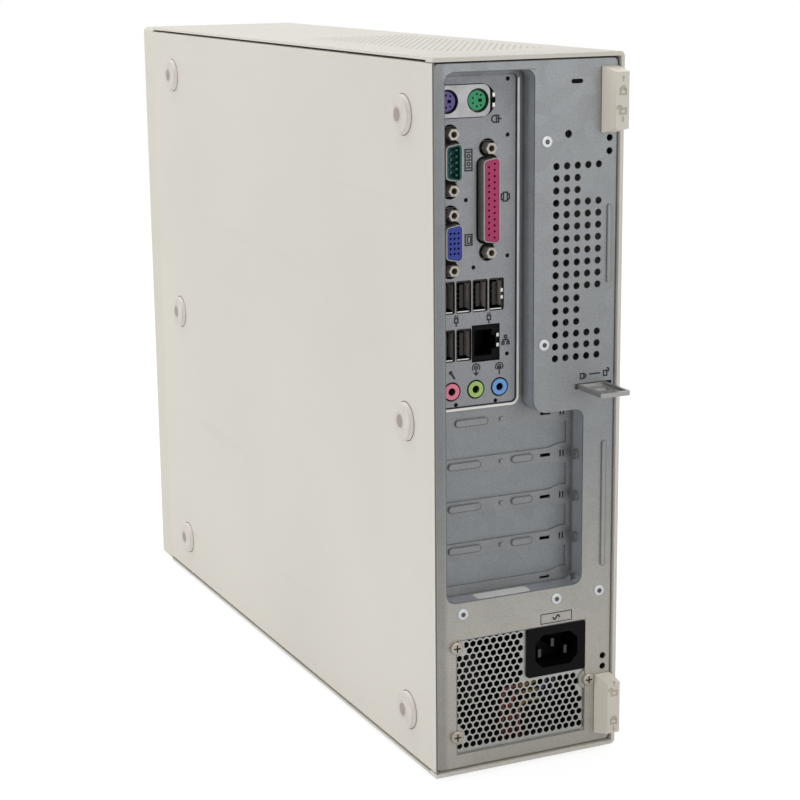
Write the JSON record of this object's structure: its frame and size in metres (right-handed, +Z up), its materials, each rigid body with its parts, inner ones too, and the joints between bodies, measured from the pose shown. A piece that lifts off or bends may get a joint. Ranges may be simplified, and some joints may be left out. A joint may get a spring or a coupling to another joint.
{
  "type": "desktop computer",
  "caption": "Slim upright desktop computer with a sliding painted cover, rear socket recess, expansion slots, power supply, latches, lock tab and a front bezel with drive and button.",
  "frame": {"origin": "bottom centre of the overall box, where the standing feet meet the desk", "axes": "+X out of the broad side with six round feet, +Y out of the rear with the sockets, +Z up"},
  "size_m": [0.0994, 0.4246, 0.336],
  "materials": {
    "body_paint": "fine textured light grey paint",
    "zinc_sheet": "satin zinc-plated steel",
    "shield_tin": "bright tin-plated steel",
    "bezel_plastic": "fine-grained moulded plastic",
    "latch_plastic": "smooth moulded plastic",
    "foot_rubber": "soft matte rubber",
    "fastener": "bright nickel plate",
    "grille_steel": "bright plated mesh",
    "black_plastic": "black moulded plastic",
    "dark_plastic": "dark grey moulded plastic",
    "keyboard_purple": "purple moulded plastic",
    "mouse_green": "green moulded plastic",
    "serial_teal": "dark teal moulded plastic",
    "display_blue": "blue moulded plastic",
    "parallel_magenta": "magenta moulded plastic",
    "microphone_pink": "pink moulded plastic",
    "line_out_lime": "lime moulded plastic",
    "line_in_blue": "light blue moulded plastic",
    "connector_shell": "bright plated shell",
    "contact_metal": "plated contact",
    "circuit_board": "lacquered circuit board",
    "aluminium": "milled aluminium",
    "lead_cover": "coloured lead insulation",
    "lamp_lens": "clear tinted lens"
  },
  "bodies": {
    "chassis": {"base_pan": "body_paint", "board_components": "dark_plastic", "board_screws": "fastener", "board_sockets": "black_plastic", "chipset_heatsink": "aluminium", "cpu_fan_frame": "dark_plastic", "cpu_heatsink": "aluminium", "d_sub_shells": "connector_shell", "disk_bracket": "zinc_sheet", "drive_cage": "zinc_sheet", "front_bezel": "bezel_plastic", "front_board": "circuit_board", "front_plate": "zinc_sheet", "front_sockets": "dark_plastic", "hard_disk": "aluminium", "inlet_pins": "contact_metal", "io_shield": "shield_tin", "keyboard_socket": "keyboard_purple", "lan_socket": "connector_shell", "line_in_jack": "line_in_blue", "line_out_jack": "line_out_lime", "memory_modules": "circuit_board", "microphone_jack": "microphone_pink", "motherboard": "circuit_board", "mouse_socket": "mouse_green", "optical_drive_case": "zinc_sheet", "optical_drive_front": "bezel_plastic", "panel_rivets": "fastener", "parallel_insert": "parallel_magenta", "port_jackscrews": "fastener", "port_recess": "zinc_sheet", "power_lamp": "lamp_lens", "processor": "dark_plastic", "ps2_shell": "connector_shell", "psu_case": "zinc_sheet", "psu_circuit": "circuit_board", "psu_fan_frame": "dark_plastic", "psu_grille": "grille_steel", "psu_inlet": "black_plastic", "psu_leads": "lead_cover", "rear_panel": "zinc_sheet", "rear_screws": "fastener", "serial_insert": "serial_teal", "side_feet": "foot_rubber", "slot_covers": "zinc_sheet", "usb_shells": "connector_shell", "usb_tongues": "black_plastic", "vga_insert": "display_blue"},
    "cover": {"cover": "body_paint", "standing_feet": "foot_rubber"},
    "upper_latch": {"upper_latch": "latch_plastic"},
    "lower_latch": {"lower_latch": "latch_plastic"},
    "lock_tab": {"lock_tab": "zinc_sheet"},
    "power_button": {"power_button": "bezel_plastic"},
    "optical_tray": {"optical_tray": "bezel_plastic"},
    "optical_eject_button": {"optical_eject_button": "bezel_plastic"},
    "cpu_fan_rotor": {"cpu_fan_rotor": "dark_plastic"},
    "psu_fan_rotor": {"psu_fan_rotor": "dark_plastic"}
  },
  "joints": [
    {"name": "cover_slide", "type": "slide", "parent": "chassis", "child": "cover", "axis": [0, 1, 0], "range_m": [0, 0.385]},
    {"name": "upper_latch_slide", "type": "slide", "parent": "chassis", "child": "upper_latch", "axis": [0, 0, -1], "range_m": [0, 0.008]},
    {"name": "lower_latch_slide", "type": "slide", "parent": "chassis", "child": "lower_latch", "axis": [0, 0, 1], "range_m": [0, 0.008]},
    {"name": "lock_tab_slide", "type": "slide", "parent": "chassis", "child": "lock_tab", "axis": [-1, 0, 0], "range_m": [0, 0.003]},
    {"name": "power_button_press", "type": "slide", "parent": "chassis", "child": "power_button", "axis": [0, 1, 0], "range_m": [0, 0.002], "stiffness_N_per_m": 700},
    {"name": "optical_tray_slide", "type": "slide", "parent": "chassis", "child": "optical_tray", "axis": [0, -1, 0], "range_m": [0, 0.14]},
    {"name": "optical_eject_press", "type": "slide", "parent": "chassis", "child": "optical_eject_button", "axis": [0, 1, 0], "range_m": [0, 0.0012], "stiffness_N_per_m": 900},
    {"name": "cpu_fan_spin", "type": "hinge", "parent": "chassis", "child": "cpu_fan_rotor", "pos_m": [0.0017, 0.0845, 0.25187], "axis": [-1, 0, 0], "continuous": true},
    {"name": "psu_fan_spin", "type": "hinge", "parent": "chassis", "child": "psu_fan_rotor", "pos_m": [0.0032, 0.0923, 0.0501], "axis": [0, 0, 1], "continuous": true}
  ]
}
